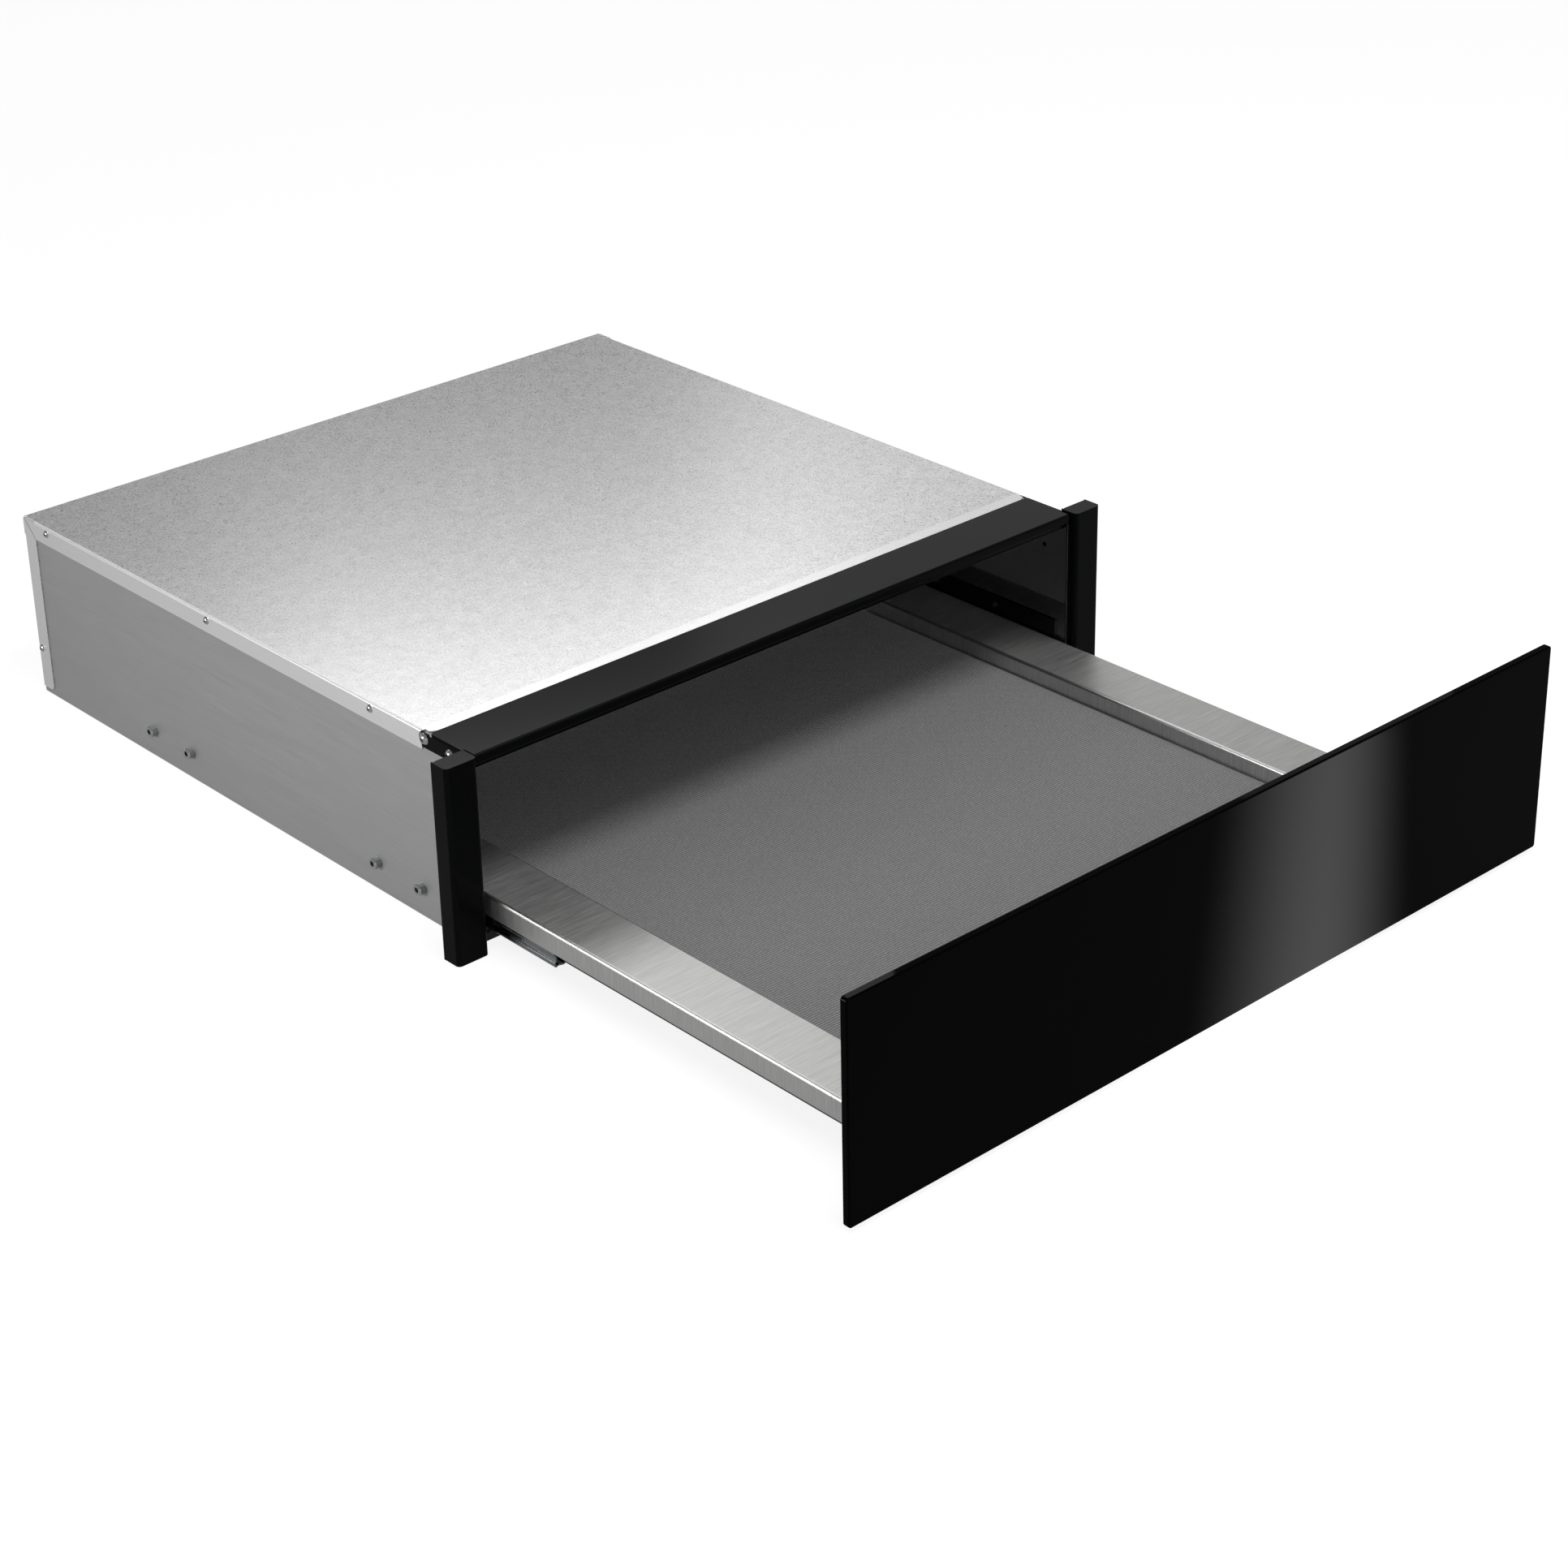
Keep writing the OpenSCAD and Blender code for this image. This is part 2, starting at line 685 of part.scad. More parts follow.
// Slot with round ends through a runner's web, from u0 to u1
module run_slot(y, u0, u1) {
    r = slot_h / 2;
    for (end = [y, y + slot_l])
        pin_x(u0 - web_out, u1 - web_out, end, run_z, r);
    block([u0 - web_out, y, run_z - r], [u1 - web_out, y + slot_l, run_z + r]);
}

cage_t = 0.5;
cage_bend = 0.4;
cage_end = 15;
outer_cage_web = 1.3;
outer_cage_out = 7.2;
inner_cage_web = 4.4;
inner_cage_out = 10.6;
// Front ends of the cages with the drawer closed
outer_cage_closed = -40;
inner_cage_closed = -28.5;
outer_cage_l = outer_pitch * (ball_n - 1) + 2 * cage_end;
inner_cage_l = inner_pitch * (ball_n - 1) + 2 * cage_end;
outer_cage_y = outer_cage_closed - open_l * outer_cage_share;
inner_cage_y = inner_cage_closed - open_l * inner_cage_share;
module cage(y, l, web, out, u, row, pitch) {
    x = web + cage_t / 2;
    difference() {
        run_place(0) along_y(y, y + l)
            folded([[out, -row], [x, -row], [x, row], [out, row]], cage_t, cage_bend);
        run_place(y + cage_end) for (i = [0 : ball_n - 1], way = [-1, 1])
            translate([u, i * pitch, way * row - over])
                cylinder(h = 2 * over, r = ball_r + pocket_play);
    }
}
module balls(y, u, row, pitch) {
    run_place(y + cage_end) for (i = [0 : ball_n - 1], way = [-1, 1])
        translate([u, i * pitch, way * row]) sphere(r = ball_r);
}
module outer_cage_left() {
    color("gray") cage(outer_cage_y, outer_cage_l, outer_cage_web, outer_cage_out,
                       outer_race_u, outer_row, outer_pitch);
}
module inner_cage_left() {
    color("gray") cage(inner_cage_y, inner_cage_l, inner_cage_web, inner_cage_out,
                       inner_race_u, inner_row, inner_pitch);
}
module outer_balls_left() {
    color("lightgray") balls(outer_cage_y, outer_race_u, outer_row, outer_pitch);
}
module inner_balls_left() {
    color("lightgray") balls(inner_cage_y, inner_race_u, inner_row, inner_pitch);
}

// Inner member, screwed to the rail under the tray's rim
rail_screw_shares = [0.08, 0.36, 0.64, 0.92];
rail_screw_r = 1.5;
rail_head_r = 2.6;
rail_head_h = 1.4;
rail_t = 1.2;
module at_rail_screws() {
    for (s = rail_screw_shares) translate([-rail_out, inner_y + inner_l * s, run_z]) children();
}
module inner_runner_left() {
    color("silver") difference() {
        run_place(0) along_y(inner_y, inner_y + inner_l) inner_section();
        at_rail_screws() pin_x(-run_t - over, over, 0, 0, rail_screw_r + hole_gap);
    }
}
module rail_screws() {
    color("gray") both_sides() at_rail_screws()
        translate([-run_t, 0, 0]) rotate([0, -90, 0])
            button_screw(rail_head_r, rail_head_h, rail_screw_r, run_t + rail_t);
}
rail_foot = 4;
rail_shelf = 22;
rail_bottom_drop = 7;
module tray_rail_left() {
    x = rail_out - rail_t / 2;
    top = rim_z - tray_t - rail_t / 2;
    color("gray") difference() {
        along_y(inner_y, inner_y + inner_l)
            folded([[rail_shelf - x, top], [-x, top], [-x, run_z - rail_bottom_drop],
                    [rail_foot - x, run_z - rail_bottom_drop]], rail_t, tray_bend);
        at_rail_screws() pin_x(-over, rail_t + over, 0, 0, rail_screw_r + hole_gap);
        at_foot_screws() translate([0, 0, -2 * bracket_foot_t - over])
            cylinder(h = 4 * bracket_foot_t, r = bracket_screw_r + hole_gap);
    }
}

// Tray: basin with a rim all round, lips folded down along both sides
module tray() {
    x = tray_half - tray_t / 2;
    wall = basin_half + tray_t / 2;
    top = rim_z - tray_t / 2;
    low = rim_z - basin_d - tray_t / 2;
    bend = tray_bend + tray_t;
    color("silver") difference() {
        union() {
            along_y(basin_y - bend, basin_end + bend)
                folded([[-x, rim_z - lip_h], [-x, top], [-wall, top], [-wall, low], [wall, low],
                        [wall, top], [x, top], [x, rim_z - lip_h]], tray_t, tray_bend);
            for (span = [[tray_y, basin_y - bend], [basin_end + bend, tray_end]])
                along_y(span[0], span[1])
                    folded([[-x, rim_z - lip_h], [-x, top], [x, top], [x, rim_z - lip_h]],
                           tray_t, tray_bend);
            tray_end_wall(basin_y, 1);
            tray_end_wall(basin_end, -1);
        }
        both_sides() at_foot_screws() translate([0, 0, -tray_t - over])
            cylinder(h = 2 * bracket_foot_t, r = bracket_screw_r + hole_gap);
        for (x = striker_rivet_x)
            translate([x, striker_rivet_y, low - tray_t])
                cylinder(h = 2 * tray_t, r = rivet_r);
    }
}
// Wall across the basin at y; way points into the basin
module tray_end_wall(y, way) {
    top = rim_z - tray_t / 2;
    low = rim_z - basin_d - tray_t / 2;
    reach = tray_bend + tray_t;
    wall = y - way * tray_t / 2;
    along_x(-basin_half - tray_t / 2, basin_half + tray_t / 2)
        folded([[wall - way * reach, top], [wall, top], [wall, low], [wall + way * reach, low]],
               tray_t, tray_bend);
}

mat_gap = 1.5;
module mat() {
    floor_z = rim_z - basin_d;
    color("dimgray")
        round_plate([mat_gap - basin_half, basin_y + mat_gap, floor_z],
                    [basin_half - mat_gap, basin_end - mat_gap, floor_z + mat_t], mat_r);
}

// Glass with bevelled front edges and rounded corners
module glass_front() {
    half = glass_w / 2;
    z0 = glass_lift;
    z1 = glass_lift + glass_h;
    color("black") intersection() {
        translate([0, glass_y + glass_t, 0]) rotate([90, 0, 0])
            round_plate([-half, z0, 0], [half, z1, glass_t], glass_r);
        along_z(z0, z1)
            polygon([[-half, carrier_y], [-half, glass_y + bevel], [bevel - half, glass_y],
                     [half - bevel, glass_y], [half, glass_y + bevel], [half, carrier_y]]);
        along_x(-half, half)
            polygon([[carrier_y, z0], [glass_y + bevel, z0], [glass_y, z0 + bevel],
                     [glass_y, z1 - bevel], [glass_y + bevel, z1], [carrier_y, z1]]);
    }
}

// Folded pan behind the glass
carrier_half = glass_w / 2 - carrier_border;
carrier_low = 14;
carrier_high = 16;
carrier_r = 2;
module front_carrier() {
    z0 = glass_lift + carrier_low;
    z1 = glass_lift + glass_h - carrier_high;
    color("black") difference() {
        translate([0, carrier_y + carrier_d, 0]) rotate([90, 0, 0])
            round_plate([-carrier_half, z0, 0], [carrier_half, z1, carrier_d], carrier_r);
        block([carrier_t - carrier_half, tray_y, z0 + carrier_t],
              [carrier_half - carrier_t, carrier_y + carrier_d + over, z1 - carrier_t]);
        both_sides() at_wall_screws() pin_y(0, -bracket_foot_t - over, over, 0,
                                            bracket_screw_r + hole_gap);
    }
}

// Angle with a gusset between the rim and the pan
bracket_foot_t = 1.2;
foot_l = 35;
foot_wide = 22;
bracket_top = 100;
bracket_bend = 1;
foot_edge = 1;
bracket_out = rail_out - foot_edge;
gusset_rise = 48;
gusset_run = 24;
bracket_screw_r = 1.9;
bracket_head_r = 3.6;
bracket_head_h = 2;
foot_screw_in = 24;
wall_screw_up = 20;
wall_screw_pitch = 28;
bracket_slot_l = 8;
module at_foot_screws() {
    translate([foot_wide / 2 - bracket_out, tray_y + foot_screw_in, rim_z]) children();
}
module at_wall_screws() {
    for (i = [0, 1])
        translate([foot_wide / 2 - bracket_out, tray_y, rim_z + wall_screw_up + i * wall_screw_pitch])
            children();
}
module front_bracket_left() {
    y = tray_y + bracket_foot_t / 2;
    z = rim_z + bracket_foot_t / 2;
    inside = foot_wide - bracket_out;
    color("gray") difference() {
        union() {
            along_x(-bracket_out, inside)
                folded([[y, bracket_top], [y, z], [tray_y + foot_l, z]], bracket_foot_t, bracket_bend);
            along_x(-bracket_out, bracket_foot_t - bracket_out)
                polygon([[y, z], [tray_y + gusset_run, z], [y, z + gusset_rise]]);
        }
        at_foot_screws() translate([0, 0, -over])
            cylinder(h = bracket_foot_t + 2 * over, r = bracket_screw_r + hole_gap);
        at_wall_screws() wall_slot();
    }
}
module wall_slot() {
    r = bracket_screw_r + hole_gap;
    half = bracket_slot_l / 2 - r;
    for (dz = [-half, half]) pin_y(0, -over, bracket_foot_t + over, dz, r);
    block([-r, -over, -half], [r, bracket_foot_t + over, half]);
}
module bracket_screws() {
    color("gray") both_sides() {
        at_foot_screws() translate([0, 0, bracket_foot_t])
            button_screw(bracket_head_r, bracket_head_h, bracket_screw_r,
                         bracket_foot_t + tray_t + rail_t);
        at_wall_screws() translate([0, bracket_foot_t, 0]) rotate([-90, 0, 0])
            button_screw(bracket_head_r, bracket_head_h, bracket_screw_r,
                         bracket_foot_t + carrier_t);
    }
}

// Fasteners of the casing
module cover_screws() {
    color("gray") both_sides() {
        for (s = cover_screw_shares)
            left_facing(case_half, cover_screw_y(s), case_h - cover_screw_drop)
                button_screw(cover_head_r, cover_head_h, cover_screw_r, cover_screw_l);
        left_facing(case_half, case_back - strip_screw_in, strip_screw_z)
            button_screw(cover_head_r, cover_head_h, cover_screw_r, cover_screw_l);
    }
}
module bar_screws() {
    color("gray") both_sides() for (p = bar_screw_places)
        left_facing(side_out + post_t, p[0], p[1])
            button_screw(button_r, button_h, button_shank_r, button_l);
}
module post_screws() {
    color("gray") both_sides() for (z = post_screw_z)
        left_facing(side_out + post_t, post_screw_y, z)
            button_screw(post_head_r, post_head_h, post_screw_r, post_screw_l);
}
module runner_bolts() {
    color("gray") both_sides() for (s = bolt_shares)
        left_facing(side_out, bolt_y(s), run_z)
            cap_screw(bolt_head_r, bolt_head_h, bolt_r, side_out - web_out + run_t);
}
module runner_spacers() {
    color("silver") both_sides() at_bolts() difference() {
        pin_x(-plate_in, -web_out, 0, 0, spacer_r);
        pin_x(-plate_in - over, over - web_out, 0, 0, bolt_r + hole_gap);
    }
}

// Push-to-open catch on the floor, under the closed tray
latch_back_in = 16;
latch_r = 4;
latch_y = case_back - latch_back_in - latch_l;
plunger_z = 11;
plunger_play = 0.15;
plunger_l = 50;
latch_tip_l = 3;
latch_ear = 10;
latch_ear_h = 3;
latch_screw_r = 1.5;
latch_head_r = 2.8;
latch_head_h = 1.5;
latch_bore_l = 62;
latch_screw_x = [-latch_w / 2 - latch_ear / 2, latch_w / 2 + latch_ear / 2];
latch_screw_y = [latch_y + latch_ear, latch_y + latch_l - latch_ear];
module latch_housing() {
    half = latch_w / 2;
    color("dimgray") difference() {
        union() {
            round_plate([-half, latch_y, sheet_t], [half, latch_y + latch_l, sheet_t + latch_h], latch_r);
            round_plate([-half - latch_ear, latch_y, sheet_t],
                        [half + latch_ear, latch_y + latch_l, sheet_t + latch_ear_h], latch_r);
        }
        pin_y(0, latch_y - over, latch_y + latch_bore_l, plunger_z, plunger_r + plunger_play);
        for (x = latch_screw_x, y = latch_screw_y)
            translate([x, y, 0]) cylinder(h = latch_h, r = latch_screw_r + hole_gap);
    }
}
module latch_screws() {
    color("gray") for (x = latch_screw_x, y = latch_screw_y)
        translate([x, y, sheet_t + latch_ear_h])
            button_screw(latch_head_r, latch_head_h, latch_screw_r, latch_ear_h + sheet_t);
}
module latch_plunger() {
    color("white")
        pin_y(0, latch_y - plunger_out, latch_y - plunger_out + plunger_l, plunger_z, plunger_r);
}
module latch_tip() {
    color("black")
        pin_y(0, latch_y - plunger_out - latch_tip_l, latch_y - plunger_out, plunger_z, plunger_r);
}

// Angle under the basin that meets the plunger when the drawer is closed
striker_t = 1.5;
striker_half = 12;
striker_foot = 16;
striker_z = 7;
striker_y = latch_y - plunger_out - latch_tip_l - seam - open_l;
striker_rivet_x = [-striker_half / 2, striker_half / 2];
striker_rivet_y = striker_y - striker_foot / 2;
module latch_striker() {
    top = rim_z - basin_d - tray_t;
    y = striker_y - striker_t / 2;
    color("gray") difference() {
        along_x(-striker_half, striker_half)
            folded([[y, striker_z], [y, top - striker_t / 2], [y - striker_foot, top - striker_t / 2]],
                   striker_t, bracket_bend);
        for (x = striker_rivet_x)
            translate([x, striker_rivet_y, top - striker_t - over])
                cylinder(h = striker_t + 2 * over, r = rivet_r);
    }
}
module striker_rivets() {
    low = rim_z - basin_d - tray_t - striker_t;
    color("gray") for (x = striker_rivet_x) {
        translate([x, striker_rivet_y, low]) cylinder(h = striker_t + tray_t, r = rivet_r);
        translate([x, striker_rivet_y, low - rivet_head_h]) cylinder(h = rivet_head_h, r = rivet_head_r);
    }
}

cover();
side_left();
right_hand() side_left();  // side_right
liner_left();
right_hand() liner_left();  // liner_right
floor_pan();
face_frame();
front_bar();
post_left();
right_hand() post_left();  // post_right
runner_bracket_left();
right_hand() runner_bracket_left();  // runner_bracket_right
outer_runner_left();
right_hand() outer_runner_left();  // outer_runner_right
runner_spacers();
runner_bolts();
cover_screws();
bar_screws();
post_screws();
frame_rivets();
latch_housing();
latch_screws();
latch_plunger();
latch_tip();
middle_runner_left();
right_hand() middle_runner_left();  // middle_runner_right
outer_cage_left();
right_hand() outer_cage_left();  // outer_cage_right
outer_balls_left();
right_hand() outer_balls_left();  // outer_balls_right
inner_cage_left();
right_hand() inner_cage_left();  // inner_cage_right
inner_balls_left();
right_hand() inner_balls_left();  // inner_balls_right
glass_front();
front_carrier();
front_bracket_left();
right_hand() front_bracket_left();  // front_bracket_right
bracket_screws();
tray();
mat();
tray_rail_left();
right_hand() tray_rail_left();  // tray_rail_right
rail_screws();
inner_runner_left();
right_hand() inner_runner_left();  // inner_runner_right
latch_striker();
striker_rivets();
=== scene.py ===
# %% [markdown]
# # A built-in storage drawer, dressed in Blender
#
# The real object is a low sheet-metal casing that vanishes in a kitchen niche, and a drawer with a
# black glass front that runs out of it on telescopic ball-bearing runners. The construction arrives
# finished from the CAD frame, so every sheet, bend and screw is already in its place. Blender adds
# the looks: zinc, steel, enamel, glass and rubber, each made from what it is in real life, two pieces
# whose surface is too fine for the construction, and a plain studio.
#
# The frame is loaded first. Nothing that is added may make it bigger.

# %% Load the frame
import math

import bmesh
import bpy
from mathutils import Matrix, Vector


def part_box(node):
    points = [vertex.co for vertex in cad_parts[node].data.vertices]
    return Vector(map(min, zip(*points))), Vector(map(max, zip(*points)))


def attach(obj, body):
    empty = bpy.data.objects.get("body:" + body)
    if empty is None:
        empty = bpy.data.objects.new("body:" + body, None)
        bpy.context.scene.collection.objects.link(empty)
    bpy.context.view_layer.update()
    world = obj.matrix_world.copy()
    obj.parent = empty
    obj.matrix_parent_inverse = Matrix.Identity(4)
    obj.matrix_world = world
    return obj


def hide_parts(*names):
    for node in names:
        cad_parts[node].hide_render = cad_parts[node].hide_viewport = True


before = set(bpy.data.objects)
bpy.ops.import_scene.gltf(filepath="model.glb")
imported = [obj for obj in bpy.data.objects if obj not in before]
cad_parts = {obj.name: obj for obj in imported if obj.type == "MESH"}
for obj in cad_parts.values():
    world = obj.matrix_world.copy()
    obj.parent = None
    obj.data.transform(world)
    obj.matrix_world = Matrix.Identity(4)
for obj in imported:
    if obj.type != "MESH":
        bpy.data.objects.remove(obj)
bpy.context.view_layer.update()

# %% [markdown]
# ## Small helpers
#
# Lengths are thought of in millimetres but stored in metres. Colours are picked in sRGB, the way a
# paint program shows them, and the shader wants them linear, so one function turns them.

# %% Millimetres and colours
MM = 0.001


def linear(hex_colour):
    """sRGB hex, such as #8a8d90, as the linear RGBA that a shader expects."""
    shares = [int(hex_colour[i:i + 2], 16) / 255 for i in (1, 3, 5)]
    return [s / 12.92 if s <= 0.04045 else ((s + 0.055) / 1.055) ** 2.4 for s in shares] + [1.0]


print("Mid grey #808080 is linear", round(linear("#808080")[0], 3))

# %% [markdown]
# A material is a net of nodes. One function adds a node with all its settings and links, and a few
# more add the nodes that every material here needs. Each gives back an output that the next one can
# take, so a material reads as a list from its pattern to its shader.

# %% Add a node
def add(tree, kind, settings=None):
    """Adds a node. A setting is an attribute of the node, or else an input's value or link."""
    node = tree.nodes.new(kind)
    for name, value in (settings or {}).items():
        if isinstance(name, str) and hasattr(node, name):
            setattr(node, name, value)
        elif isinstance(value, bpy.types.NodeSocket):
            tree.links.new(value, node.inputs[name])
        else:
            node.inputs[name].default_value = value
    return node


# %% Patterns and numbers
def noise(tree, place, lump, detail, roughness=0.5):
    """Cloudy noise from 0 to 1, whose largest lumps are about as wide as lump."""
    return add(tree, "ShaderNodeTexNoise", {"Scale": 1 / lump, "Detail": detail,
               "Roughness": roughness, "Vector": place}).outputs["Fac"]


def reckon(tree, operation, *terms):
    """The result of one sum. A term is a number or another node's output."""
    return add(tree, "ShaderNodeMath", {"operation": operation, **dict(enumerate(terms))}).outputs[0]


def blend(tree, share, start, end):
    """A number that runs from start to end as share goes from 0 to 1."""
    return add(tree, "ShaderNodeMix", {"data_type": "FLOAT", 0: share, 2: start, 3: end}).outputs[0]


def soft_step(tree, value, start, end, low=0.0, high=1.0):
    """low up to start and high from end on, with a soft step between."""
    return add(tree, "ShaderNodeMapRange", {"interpolation_type": "SMOOTHSTEP", "From Min": start,
               "From Max": end, "To Min": low, "To Max": high, "Value": value}).outputs[0]


# %% Colour, relief and shader
def tint(tree, share, start, end):
    """A colour that runs between two sRGB hex colours as share goes from 0 to 1."""
    return add(tree, "ShaderNodeMix", {"data_type": "RGBA", 0: share, 6: linear(start),
               7: linear(end)}).outputs[2]


def relief(tree, height, strength, depth):
    """A normal that follows height as a bump."""
    return add(tree, "ShaderNodeBump", {"Strength": strength, "Distance": depth,
               "Height": height}).outputs[0]


def emptied(owner):
    """The node tree of a material or a world, without its first nodes."""
    owner.use_nodes = True
    owner.node_tree.nodes.clear()
    return owner.node_tree


def surface(name):
    """A new material: the material, its tree and Object coordinates."""
    material = bpy.data.materials.new(name)
    tree = emptied(material)
    return material, tree, add(tree, "ShaderNodeTexCoord").outputs["Object"]


def shade(tree, settings):
    """Ends a material with one shader that has these settings and links."""
    shader = add(tree, "ShaderNodeBsdfPrincipled", settings)
    add(tree, "ShaderNodeOutputMaterial", {"Surface": shader.outputs["BSDF"]})


# %% [markdown]
# ## Hot-dip galvanised sheet
#
# The cover is steel that was drawn through molten zinc. The zinc froze in small crystals, the
# spangle, about 1 mm across, and each lies at its own angle. So the eye sees a fine, glittering grain
# that turns from grey to nearly white with the light. Each cell of a Voronoi pattern is one crystal:
# it gets its own grey, its own roughness and a small tilt of its normal. Where the sheet was folded
# down at the sides, and on the strip that the bar was pressed against, the crystals are ironed flat,
# so there the tilt is taken away. There the metal is also painted lighter: a painted highlight for
# the light that these faces catch.

# %% Spangled zinc
SPANGLE, CLOUD = 1.0 * MM, 9 * MM
PALENESS, CLOUD_SHARE = 0.4, 0.25
CRYSTAL_TILT = 0.05
FOLD_LEAN, IRONED_EDGE = 0.1, -207 * MM
IRONED_PAINTED_HIGHLIGHT, FOLDED_ROUGH = 0.8, 0.45


def spangled_zinc():
    material, tree, place = surface("galvanised_sheet_spangled")
    crystals = add(tree, "ShaderNodeTexVoronoi", {"Scale": 1 / SPANGLE, "Vector": place}).outputs["Color"]
    grain = reckon(tree, "MULTIPLY", reckon(tree, "POWER", crystals, PALENESS), 1 - CLOUD_SHARE)
    mixed = reckon(tree, "MULTIPLY_ADD", noise(tree, place, CLOUD, 4.0, 0.65), CLOUD_SHARE, grain)
    normal = add(tree, "ShaderNodeNewGeometry").outputs["Normal"]
    sideways = reckon(tree, "ABSOLUTE", add(tree, "ShaderNodeSeparateXYZ", {0: normal}).outputs["X"])
    folded = reckon(tree, "GREATER_THAN", sideways, FOLD_LEAN)
    along = add(tree, "ShaderNodeSeparateXYZ", {0: place}).outputs["Y"]
    ironed_and_painted_highlight = reckon(tree, "MAXIMUM", folded, reckon(tree, "LESS_THAN", along, IRONED_EDGE))
    lean = add(tree, "ShaderNodeVectorMath", {"operation": "MULTIPLY_ADD", 0: crystals,
               1: (CRYSTAL_TILT,) * 3, 2: (-CRYSTAL_TILT / 2,) * 3})
    tilt = add(tree, "ShaderNodeVectorMath", {"operation": "SCALE", 0: lean.outputs[0],
               "Scale": reckon(tree, "SUBTRACT", 1.0, ironed_and_painted_highlight)})
    leaning = add(tree, "ShaderNodeVectorMath", {"operation": "ADD", 0: normal, 1: tilt.outputs[0]})
    unit = add(tree, "ShaderNodeVectorMath", {"operation": "NORMALIZE", 0: leaning.outputs[0]})
    shade(tree, {
        "Metallic": 1.0,
        # The folded sides and the strip by the bar get a lighter tone: a painted highlight.
        "Base Color": tint(tree, blend(tree, ironed_and_painted_highlight, mixed, IRONED_PAINTED_HIGHLIGHT), "#515253", "#f6f6f6"),
        "Roughness": blend(tree, folded, blend(tree, mixed, 0.22, 0.34), FOLDED_ROUGH),
        "Normal": unit.outputs[0],
    })
    return material


galvanised = spangled_zinc()
print("Spangle cells of", round(SPANGLE / MM, 2), "mm")

# %% [markdown]
# ## Skin-passed zinc sheet
#
# The side panels are zinc-coated too, but the coil was rolled once more after the bath. That
# flattened the crystals to an even satin with a faint grain along the rolling direction, so the panel
# is a quiet grey that only shades from one end to the other.

# %% Satin zinc
GRAIN_PER_METRE = (900.0, 25.0, 900.0)


def satin_zinc():
    material, tree, place = surface("zinc_sheet_skin_passed")
    along = add(tree, "ShaderNodeMapping", {"Scale": GRAIN_PER_METRE, "Vector": place}).outputs[0]
    rolled = noise(tree, along, 1.0, 3.0)
    shade(tree, {
        "Metallic": 1.0,
        "Base Color": tint(tree, rolled, "#9f9f9f", "#ababab"),
        "Roughness": blend(tree, rolled, 0.48, 0.56),
        "Normal": relief(tree, rolled, 0.04, 0.05 * MM),
    })
    return material


satin = satin_zinc()

# %% [markdown]
# ## Black enamel and black powder coat
#
# The posts and the bar across the front are what one sees with the drawer open, so they have a wet,
# glossy black coat. It was sprayed, and it levelled with a faint orange peel of about 2 mm. The
# plates inside are powder coated: smooth on the frame and the brackets, satin on the front's carrier.
# A coat is a dielectric: the colour stays black, and what the eye reads is the weak reflection on it.

# %% Black coats
ORANGE_PEEL = 2 * MM


def black_coat(name, colours, roughness, level, peel):
    material, tree, place = surface(name)
    skin = noise(tree, place, ORANGE_PEEL, 2.0)
    shade(tree, {
        "Specular IOR Level": level,
        "Base Color": tint(tree, skin, *colours),
        "Roughness": blend(tree, skin, *roughness),
        "Normal": relief(tree, skin, peel, 0.02 * MM),
    })
    return material


enamel = black_coat("black_enamel_gloss", ("#08090a", "#0d0e10"), (0.14, 0.2), 0.052, 0.1)
inner_black = black_coat("black_powder_coat_inside", ("#060607", "#0b0b0c"), (0.12, 0.2), 0.5, 0.1)
pan_black = black_coat("black_powder_coat_satin", ("#0c0c0d", "#141415"), (0.35, 0.5), 0.4, 0.4)
print("Three black coats, gloss to satin")

# %% [markdown]
# ## Brushed stainless steel
#
# The tray was brushed across its width before it was folded. The abrasive left short scratches, 10
# to 30 mm long and a few hundredths of a millimetre wide. Those are too fine to show, so they are
# drawn about 0.8 mm wide. On the folded lips the same scratches run up and down, so the pattern is
# stretched along Z there and along X everywhere else. A highlight spreads across the scratches and
# hardly along them, so the shader's blur is drawn out along Y, which lies across them on both. In the
# folds, where the normal leans halfway, the press tool burnished the steel, so the scratches and
# their bump are left out there and the roughness is lower. The folds also get one even, lighter grey:
# a painted highlight that adds to the thin bright line which a lamp draws along them.

# %% Stainless steel
SCRATCH_L, SCRATCH_W = 24 * MM, 0.8 * MM
LIP_LEAN = 0.7
FOLD_RISE, FOLD_SPAN = 0.62, 0.32
FOLD_HIGHLIGHT_GREY, FOLD_ROUGH = "#cfcfce", 0.32


